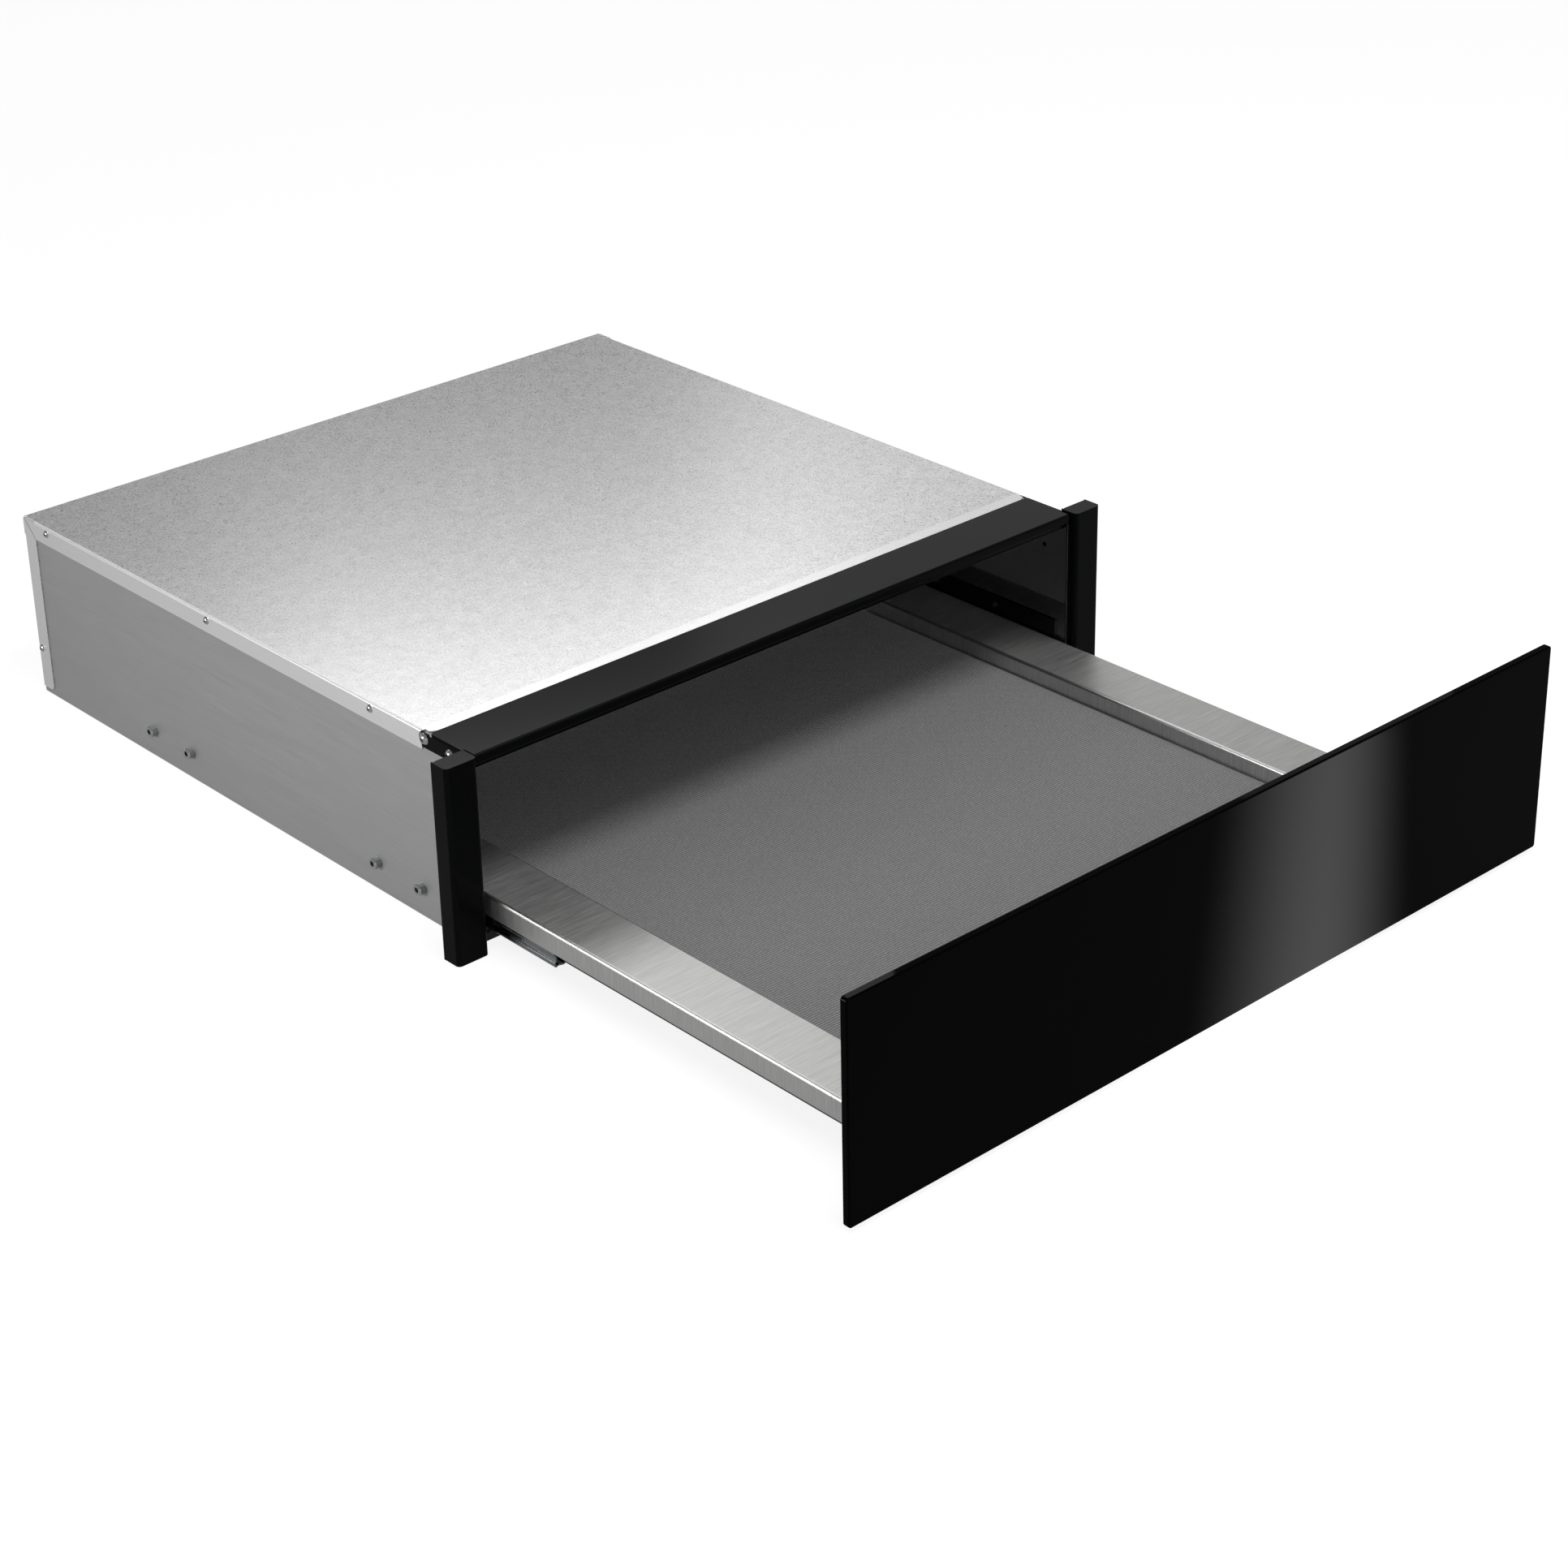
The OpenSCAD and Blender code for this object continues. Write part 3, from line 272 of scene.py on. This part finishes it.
def brushed_stainless():
    material, tree, place = surface("stainless_steel_brushed")
    along, fine = 1 / SCRATCH_L, 1 / SCRATCH_W
    flat = add(tree, "ShaderNodeMapping", {"Scale": (along, fine, fine), "Vector": place}).outputs[0]
    lip = add(tree, "ShaderNodeMapping", {"Scale": (fine, fine, along), "Vector": place}).outputs[0]
    normal = add(tree, "ShaderNodeSeparateXYZ", {0: add(tree, "ShaderNodeNewGeometry").outputs["Normal"]})
    on_lip = reckon(tree, "GREATER_THAN", reckon(tree, "ABSOLUTE", normal.outputs["X"]), LIP_LEAN)
    where = add(tree, "ShaderNodeMix", {"data_type": "VECTOR", 0: on_lip, 4: flat, 5: lip}).outputs[1]
    scratches = noise(tree, where, 1.0, 5.0, 0.6)
    upright = reckon(tree, "ABSOLUTE", normal.outputs["Z"])
    fold = reckon(tree, "COMPARE", upright, FOLD_RISE, FOLD_SPAN)
    brushed = tint(tree, scratches, "#a2a2a1", "#e8e8e7")
    # In the folds one even, lighter grey replaces the scratches: a painted highlight.
    colour = add(tree, "ShaderNodeMix", {"data_type": "RGBA", 0: fold, 6: brushed, 7: linear(FOLD_HIGHLIGHT_GREY)})
    across = add(tree, "ShaderNodeCombineXYZ", {"X": 0.3, "Y": 1.0, "Z": 0.2})
    shade(tree, {
        "Metallic": 1.0,
        "Anisotropic": 0.6,
        "Tangent": across.outputs[0],
        "Base Color": colour.outputs[2],
        "Roughness": blend(tree, fold, blend(tree, scratches, 0.34, 0.5), FOLD_ROUGH),
        "Normal": relief(tree, scratches, blend(tree, fold, 0.12, 0.0), 0.05 * MM),
    })
    return material


stainless = brushed_stainless()
print("Scratches drawn", round(SCRATCH_W / MM, 2), "mm wide")

# %% [markdown]
# ## Plated and bare steels of the hardware
#
# The runners, brackets and screws are bright zinc plated: barrel or rack plating that leaves a thin,
# slightly cloudy bluish coat. The cages are plain pressed strip, the balls are ground and polished,
# and the screws of the posts are blackened. The casing's inner cheeks are stainless sheet from
# polished rolls: they look dark because they mirror the dark inside, and one sees the mat in them.
# One function makes all of these from a clean and a cloudy colour, because on the real parts too only
# those and the polish differ.

# %% Hardware metals
def plated(name, clean, cloudy, roughness, cloud=6 * MM):
    material, tree, place = surface(name)
    clouds = noise(tree, place, cloud, 5.0, 0.6)
    shade(tree, {
        "Metallic": 1.0,
        "Base Color": tint(tree, clouds, clean, cloudy),
        "Roughness": blend(tree, clouds, *roughness),
    })
    return material


cheek_steel = plated("stainless_steel_bright_rolled", "#b4b4b5", "#a9a9aa", (0.05, 0.1), 20 * MM)
runner_zinc = plated("bright_zinc_plate_runner", "#a6a9ab", "#7d8082", (0.14, 0.3))
bracket_zinc = plated("bright_zinc_plate_bracket", "#a6a9aa", "#8b8e90", (0.28, 0.42))
screw_zinc = plated("zinc_plated_screw", "#d6d8d9", "#8d8f90", (0.06, 0.16), 1.5 * MM)
cage_strip = plated("pressed_steel_strip", "#8d8f90", "#737576", (0.3, 0.45))
ball_steel = plated("ground_bearing_steel", "#cfd1d3", "#c2c4c6", (0.05, 0.1), 3 * MM)
black_oxide = plated("black_oxide_screw", "#1c1d1f", "#101112", (0.3, 0.45), 1.5 * MM)
print("Seven metals")

# %% [markdown]
# ## Rubber mat
#
# The mat keeps what lies in the drawer from sliding. It is calendered rubber with ribs about 1 mm
# apart and a finer cross-grain between them. So fine a rib would vanish, so they are drawn 2 mm apart.
# The ribs are modelled, and the cross-grain is a bump. Its grooves are also painted darker, a painted
# shade, and a dust noise makes the grey differ at random.
# Matt rubber scatters light evenly, so roughness is high and the sheen of its reflection is low.
# A wave texture with the scale WAVE_UNIT has one wave in each unit of its coordinates.

# %% Rubber
RIB_PITCH, DUST = 2.0 * MM, 1.6 * MM
WAVE_UNIT = 0.31416


def ribbed_rubber():
    material, tree, place = surface("calendered_rubber_ribbed")
    across = add(tree, "ShaderNodeMapping", {"Scale": (0.0, 1 / RIB_PITCH, 0.0), "Vector": place})
    weave = add(tree, "ShaderNodeTexWave", {"bands_direction": "Y", "Scale": WAVE_UNIT,
                "Vector": across.outputs[0]}).outputs["Fac"]
    dust = noise(tree, place, DUST, 3.0)
    relief_and_painted_shade = reckon(tree, "MULTIPLY", weave, dust)
    shade(tree, {
        "Specular IOR Level": 0.3,
        # Low parts of the cross-grain are darker: a painted shade in its grooves.
        "Base Color": tint(tree, relief_and_painted_shade, "#777778", "#d0d0d1"),
        "Roughness": blend(tree, dust, 0.6, 0.8),
        "Normal": relief(tree, relief_and_painted_shade, 0.3, 0.1 * MM),
    })
    return material


rubber = ribbed_rubber()

# %% [markdown]
# ## Black-backed glass
#
# The front is 5 mm float glass with black ceramic ink fired on its back. From the front the eye sees
# through clear glass to the ink, so it is deep black with one sharp reflection. The glass body is
# drawn opaque: the ink hides everything behind it, and the arris along the edge catches the light.

# %% Glass
FILM = 60 * MM


def backed_glass():
    material, tree, place = surface("float_glass_black_backed")
    film = noise(tree, place, FILM, 2.0)
    shade(tree, {
        "Specular IOR Level": 0.02,
        "Base Color": tint(tree, film, "#030304", "#050506"),
        "Roughness": blend(tree, film, 0.015, 0.04),
    })
    return material


black_glass = backed_glass()

# %% [markdown]
# ## Moulded plastics of the catch
#
# The push-to-open catch sits on the casing's floor, out of sight with the drawer closed. Its housing
# is injection-moulded nylon with a fine spark-eroded grain, its plunger is white acetal, and a soft
# black tip meets the drawer.

# %% Plastics
SPARK_GRAIN = 0.5 * MM


def moulded(name, colours, roughness):
    material, tree, place = surface(name)
    texture = noise(tree, place, SPARK_GRAIN, 3.0)
    shade(tree, {
        "IOR": 1.52,
        "Base Color": tint(tree, texture, *colours),
        "Roughness": blend(tree, texture, *roughness),
        "Normal": relief(tree, texture, 0.25, 0.05 * MM),
    })
    return material


nylon = moulded("nylon_moulded_black", ("#1b1c1e", "#262729"), (0.45, 0.6))
acetal = moulded("acetal_moulded_white", ("#c9c9c7", "#d6d6d4"), (0.3, 0.4))
soft_tip = moulded("rubber_moulded_tip", ("#101011", "#1a1a1b"), (0.7, 0.85))
print("Three plastics of the catch")

# %% [markdown]
# ## Every construction node gets its finish
#
# A construction node keeps its mesh, and only its material changes. The table goes from the finish
# to the nodes that leave the factory with it.

# %% Dress the nodes
def sides(*names):
    return [name + side for name in names for side in ("_left", "_right")]


FINISHES = [
    (galvanised, ["cover", "floor_pan"]),
    (satin, sides("side")),
    (enamel, ["front_bar"] + sides("post")),
    (cheek_steel, sides("liner")),
    (inner_black, ["face_frame"] + sides("runner_bracket")),
    (pan_black, ["front_carrier"]),
    (stainless, ["tray"]),
    (runner_zinc, ["runner_spacers"] + sides("outer_runner", "middle_runner", "inner_runner")),
    (bracket_zinc, ["latch_striker"] + sides("front_bracket", "tray_rail")),
    (screw_zinc, ["cover_screws", "bar_screws", "runner_bolts", "frame_rivets", "latch_screws",
                  "bracket_screws", "rail_screws", "striker_rivets"]),
    (black_oxide, ["post_screws"]),
    (cage_strip, sides("outer_cage", "inner_cage")),
    (ball_steel, sides("outer_balls", "inner_balls")),
    (nylon, ["latch_housing"]),
    (acetal, ["latch_plunger"]),
    (soft_tip, ["latch_tip"]),
    (rubber, ["mat"]),
    (black_glass, ["glass_front"]),
]


def dress(piece, material):
    piece.data.materials.clear()
    piece.data.materials.append(material)


for material, nodes in FINISHES:
    for node in nodes:
        dress(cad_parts[node], material)
undressed = set(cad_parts) - {n for _, nodes in FINISHES for n in nodes}
print("Nodes dressed:", len(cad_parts) - len(undressed), "left bare:", sorted(undressed))

# %% [markdown]
# ## A piece from a bmesh
#
# New shapes are made in a bmesh, in the frame's own coordinates, so that the finished object sits at
# the origin, as the construction nodes do. A piece of the drawer is closed first: its normals turn
# outwards. It is hung on the empty of the body that carries it, and the construction node that it
# stands for is hidden.

# %% Make a piece
def new_object(name, bm, material):
    mesh = bpy.data.meshes.new(name)
    bm.to_mesh(mesh)
    bm.free()
    thing = bpy.data.objects.new(name, mesh)
    bpy.context.scene.collection.objects.link(thing)
    dress(thing, material)
    print(name, "has", len(mesh.polygons), "faces")
    return thing


def make_piece(bm, name, body, material, stands_for):
    bmesh.ops.remove_doubles(bm, verts=bm.verts, dist=0.001 * MM)
    bmesh.ops.recalc_face_normals(bm, faces=bm.faces)
    piece = new_object(name, bm, material)
    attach(piece, body)
    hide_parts(stands_for)


# %% [markdown]
# ## The ribbed mat
#
# The real mat is a sheet of rubber that came off a grooved roller, cut to the basin with rounded
# corners. It could be a plain plate with a bump, but ribs that stand up catch the light at a grazing
# view, and they end in a real, slightly toothed edge. So a grid with two columns a rib gets every
# second column lifted, the corners are cut round with planes, and the border is pulled down.

# %% Ribs, round corners and border
RIB_H = 0.18 * MM
MAT_CORNER = 6 * MM
CORNER_CUTS = [math.radians(turn) for turn in (9, 27, 45, 63, 81)]


def round_corner(bm, centre, sx, sy):
    for turn in CORNER_CUTS:
        out = Vector((sx * math.cos(turn), sy * math.sin(turn), 0))
        bmesh.ops.bisect_plane(bm, geom=bm.verts[:] + bm.edges[:] + bm.faces[:],
                               plane_co=centre + out * MAT_CORNER, plane_no=out, clear_outer=True)


def ribbed_mat():
    low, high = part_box("mat")
    size, middle = high - low, (low + high) / 2
    ribs = round(size.x / RIB_PITCH)
    bm = bmesh.new()
    place = Matrix.Translation((middle.x, middle.y, high.z - RIB_H))
    bmesh.ops.create_grid(bm, x_segments=2 * ribs, y_segments=2, size=0.5,
                          matrix=place @ Matrix.Diagonal((size.x, size.y, 1, 1)))
    column = size.x / (2 * ribs)
    crests = [v for v in bm.verts if round((v.co.x - low.x) / column) % 2]
    bmesh.ops.translate(bm, verts=crests, vec=(0, 0, RIB_H))
    for sx in (-1, 1):
        for sy in (-1, 1):
            inwards = Vector((sx * (size.x / 2 - MAT_CORNER), sy * (size.y / 2 - MAT_CORNER), 0))
            round_corner(bm, middle + inwards, sx, sy)
    border = [e for e in bm.edges if e.is_boundary]
    pulled = bmesh.ops.extrude_edge_only(bm, edges=border)["geom"]
    for v in pulled:
        if isinstance(v, bmesh.types.BMVert):
            v.co.z = low.z
    foot = [e for e in pulled if isinstance(e, bmesh.types.BMEdge)]
    bmesh.ops.holes_fill(bm, edges=foot, sides=0)
    print("Ribs on the mat:", ribs)
    make_piece(bm, "ribbed_mat", "drawer", rubber, "mat")


ribbed_mat()

# %% [markdown]
# ## The glass pane
#
# A pane is cut square, its corners are ground round and its arris is polished, so the edge is a
# narrow soft curve that draws a thin bright line round the black. A box gets its four short edges
# bevelled for the corners, and then the rim of the front face with more segments than the back's.

# %% Pane with a polished arris
PANE_CORNER = 2 * MM
ARRIS = 1 * MM
BACK_ARRIS = 0.4 * MM


def rounded(bm, edges, offset, segments):
    bmesh.ops.bevel(bm, geom=edges, offset=offset, segments=segments, profile=0.5, affect="EDGES",
                    material=-1)


def rim(bm, y):
    return [e for e in bm.edges if all(abs(v.co.y - y) < 0.01 * MM for v in e.verts)]


def glass_pane():
    low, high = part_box("glass_front")
    bm = bmesh.new()
    box = Matrix.Translation((low + high) / 2) @ Matrix.Diagonal((*(high - low), 1))
    bmesh.ops.create_cube(bm, size=1, matrix=box)
    short = [e for e in bm.edges if abs(e.verts[0].co.y - e.verts[1].co.y) > MM]
    rounded(bm, short, PANE_CORNER, 6)
    rounded(bm, rim(bm, low.y), ARRIS, 4)
    rounded(bm, rim(bm, high.y), BACK_ARRIS, 2)
    make_piece(bm, "glass_pane", "drawer", black_glass, "glass_front")


glass_pane()

# %% [markdown]
# ## Floor and surroundings
#
# The object stands on a plain white floor in a white room. Both are made white for the camera in
# their materials, not with more light. Mirroring rays see the floor less bright, as the lit grey
# paint that it would really be, and the shadow on it still grounds the object.

# %% Rays that see white
def sees_white(tree, mirrored):
    """1 for camera and transmission rays, mirrored for glossy rays and 0 for rays that only carry light."""
    ray = add(tree, "ShaderNodeLightPath")
    glossy = reckon(tree, "MULTIPLY", ray.outputs["Is Glossy Ray"], mirrored)
    first = reckon(tree, "MAXIMUM", ray.outputs["Is Camera Ray"], glossy)
    return reckon(tree, "MAXIMUM", first, ray.outputs["Is Transmission Ray"])


def glowing(tree, base, strength):
    """Ends a material with a base shader and a glow on top of it."""
    glow = add(tree, "ShaderNodeEmission", {"Strength": strength})
    both = add(tree, "ShaderNodeAddShader", {0: base.outputs[0], 1: glow.outputs[0]})
    add(tree, "ShaderNodeOutputMaterial", {"Surface": both.outputs[0]})


# %% White floor
FLOOR_HALF = 6
FLOOR_DROP = 0.2 * MM
FLOOR_GLOW, MIRRORED_GLOW = 0.86, 0.23


def white_floor():
    bm = bmesh.new()
    bmesh.ops.create_grid(bm, x_segments=1, y_segments=1, size=FLOOR_HALF)
    bmesh.ops.translate(bm, verts=bm.verts, vec=(0, 0, -FLOOR_DROP))
    material = bpy.data.materials.new("painted_studio_floor")
    tree = emptied(material)
    white = sees_white(tree, MIRRORED_GLOW)
    paint = add(tree, "ShaderNodeBsdfDiffuse", {"Color": tint(tree, white, "#b8b8b8", "#a0a0a0")})
    glowing(tree, paint, reckon(tree, "MULTIPLY", white, FLOOR_GLOW))
    new_object("studio_floor", bm, material)


white_floor()

# %% [markdown]
# A mirroring ray meets the room bright at the horizon and darker towards the ceiling. That is what
# makes zinc and steel shade from one end to the other, as they do between the walls of a studio.

# %% White room
ROOM_LIGHT = 0.27
HORIZON, CEILING = 0.8, 0.28
WALL_FROM, WALL_TO = 0.05, 0.3


def white_room():
    world = bpy.data.worlds.new("studio_room")
    bpy.context.scene.world = world
    tree = emptied(world)
    way = add(tree, "ShaderNodeSeparateXYZ", {0: add(tree, "ShaderNodeTexCoord").outputs["Generated"]})
    seen = soft_step(tree, way.outputs["Z"], WALL_FROM, WALL_TO, HORIZON, CEILING)
    ray = add(tree, "ShaderNodeLightPath")
    mirrored = blend(tree, ray.outputs["Is Glossy Ray"], ROOM_LIGHT, seen)
    strength = blend(tree, sees_white(tree, 0.0), mirrored, 1.0)
    room = add(tree, "ShaderNodeBackground", {"Color": (1, 1, 1, 1), "Strength": strength})
    add(tree, "ShaderNodeOutputWorld", {"Surface": room.outputs[0]})
    print("Room light", ROOM_LIGHT, "and", CEILING, "overhead")


white_room()

# %% [markdown]
# ## Lights
#
# The key hangs above the open drawer. It is long and narrow, so the bar across the front casts a
# shadow on the mat whose edge is soft over a hand's breadth. A fill in front opens up the inside.
# The other panels are only there to be mirrored: bare metal is seen by its reflections, and a
# photographer sets up white boards for it. Those behind run the cover from grey at the back to nearly
# white at the bar, the one on the left lights the side panel, and a long narrow one high behind the
# casing draws the thin bright line along the folds of the tray.

# %% Softboxes
def softbox(name, place, aim, size, watts, only_mirrored=False):
    light = bpy.data.lights.new(name, "AREA")
    light.shape = "RECTANGLE"
    light.size, light.size_y = size
    light.energy = watts
    lamp = bpy.data.objects.new(name, light)
    bpy.context.scene.collection.objects.link(lamp)
    lamp.location = place
    lamp.rotation_mode = "QUATERNION"
    lamp.rotation_quaternion = (Vector(aim) - Vector(place)).to_track_quat("-Z", "Y")
    lamp.visible_camera = False
    lamp.visible_diffuse = not only_mirrored
    print(name, watts, "W at", place, "only mirrored" if only_mirrored else "")


softbox("key_above", (0.0, -0.78, 1.75), (0.0, -0.25, 0.03), (2.2, 0.6), 12)
softbox("fill_front", (-0.3, -2.4, 1.2), (0.0, -0.3, 0.1), (1.4, 0.8), 7.5)

# %% White boards
BOARDS = [
    ("fill_left", (-1.5, 0.3, 0.4), (-0.25, -0.15, 0.08), (0.5, 0.4), 14),
    ("panel_behind", (0.75, 0.95, 1.15), (0.1, -0.2, 0.1), (0.7, 0.4), 2.6),
    ("panel_right", (1.35, 0.75, 0.85), (0.1, 0.0, 0.1), (0.9, 0.5), 0.9),
    ("panel_high", (0.0, 1.2, 1.5), (0.0, -0.1, 0.1), (1.6, 0.8), 3.8),
    ("bend_light", (-0.4, 0.9, 1.43), (0.0, -0.35, 0.03), (0.12, 1.2), 1.8),
]
for board in BOARDS:
    softbox(*board, only_mirrored=True)

# %% [markdown]
# ## A card for the glass
#
# Black glass is only seen by what it mirrors, and the photographer gave it one upright band of light.
# A glass that one looks down on mirrors the floor, so the band is a narrow bright card that lies in
# front of it and runs away from the camera's mirror image. Its light fades out all round, and only
# mirroring rays meet it.

# %% Reflection card
CARD_FOOT = Vector((0.084, -0.622, 0.0))
CARD_ALONG = Vector((0.792, -0.61, 0.0)).normalized()
CARD_ACROSS = Vector((-CARD_ALONG.y, CARD_ALONG.x, 0.0))
CARD_DROP = Vector((0, 0, -0.1 * MM))
CARD_LIGHT = 8.5
NEAR_END, FAR_END, END_FADE = -0.2, 0.4, 0.1
LEFT_EDGE, RIGHT_EDGE = -0.08, 0.06
DARK_LEFT, DARK_RIGHT = -0.075, 0.055


def card_light(tree):
    """The card's brightness: the product of four fades, one at each side and one at each end."""
    place = add(tree, "ShaderNodeTexCoord").outputs["Object"]
    across, along = (add(tree, "ShaderNodeVectorMath", {"operation": "DOT_PRODUCT", 0: place,
                         1: way}).outputs["Value"] for way in (CARD_ACROSS, CARD_ALONG))
    middle, foot = CARD_FOOT.dot(CARD_ACROSS), CARD_FOOT.dot(CARD_ALONG)
    fades = ((across, middle + DARK_LEFT, middle),
             (across, middle + DARK_RIGHT, middle),
             (along, foot + NEAR_END, foot + NEAR_END + END_FADE),
             (along, foot + FAR_END, foot + FAR_END - END_FADE))
    light = CARD_LIGHT
    for value, dark, bright in fades:
        light = reckon(tree, "MULTIPLY", soft_step(tree, value, dark, bright), light)
    return light


def reflection_card():
    bm = bmesh.new()
    corners = ((NEAR_END, LEFT_EDGE), (FAR_END, LEFT_EDGE), (FAR_END, RIGHT_EDGE), (NEAR_END, RIGHT_EDGE))
    bm.faces.new([bm.verts.new(CARD_FOOT + CARD_DROP + CARD_ALONG * a + CARD_ACROSS * b)
                  for a, b in corners])
    material = bpy.data.materials.new("lit_card_soft_edged")
    tree = emptied(material)
    glowing(tree, add(tree, "ShaderNodeBsdfTransparent"), card_light(tree))
    card = new_object("reflection_card", bm, material)
    card.visible_camera = card.visible_diffuse = False
    card.visible_shadow = card.visible_transmission = False
    print("Card", CARD_LIGHT, "bright, facing up:", card.data.polygons[0].normal.z > 0)


reflection_card()

# %% [markdown]
# ## Camera
#
# The camera stands where the photograph was taken from. Its place, direction and focal length come
# from the known corners of the casing and of the glass. The photograph's upright edges run nearly
# parallel, as through a lens that was shifted down instead of tilted, so a part of the tilt is made
# by shifting the picture by a tenth of the frame.

# %% Place the camera
CAMERA_PLACE = (-1.28566, -1.68493, 1.03047)
AZIMUTH, ELEVATION, ROLL = (math.radians(a) for a in (-41.84, 25.06, -1.22))
FOCAL_PIXELS, PICTURE_PIXELS, SENSOR = 4122.57, 1932, 36.0
SHIFT = 0.1
NEAREST, FARTHEST = 0.05, 50


def place_camera():
    camera = bpy.data.objects.new("camera", bpy.data.cameras.new("camera"))
    bpy.context.scene.collection.objects.link(camera)
    back = Vector((math.sin(AZIMUTH) * math.cos(ELEVATION), -math.cos(AZIMUTH) * math.cos(ELEVATION),
                   math.sin(ELEVATION)))
    right = Vector((0, 0, 1)).cross(back).normalized()
    up = back.cross(right)
    turned_right = math.cos(ROLL) * right + math.sin(ROLL) * up
    turned_up = math.cos(ROLL) * up - math.sin(ROLL) * right
    camera.matrix_world = Matrix.Translation(CAMERA_PLACE) @ Matrix(
        (turned_right, turned_up, back)).transposed().to_4x4()
    camera.data.sensor_width = SENSOR
    camera.data.lens = FOCAL_PIXELS / PICTURE_PIXELS * SENSOR
    camera.data.shift_y = -SHIFT
    camera.data.clip_start, camera.data.clip_end = NEAREST, FARTHEST
    bpy.context.scene.camera = camera
    bpy.context.scene.view_settings.view_transform = "Standard"
    print("Focal length", round(camera.data.lens, 2), "mm")


place_camera()
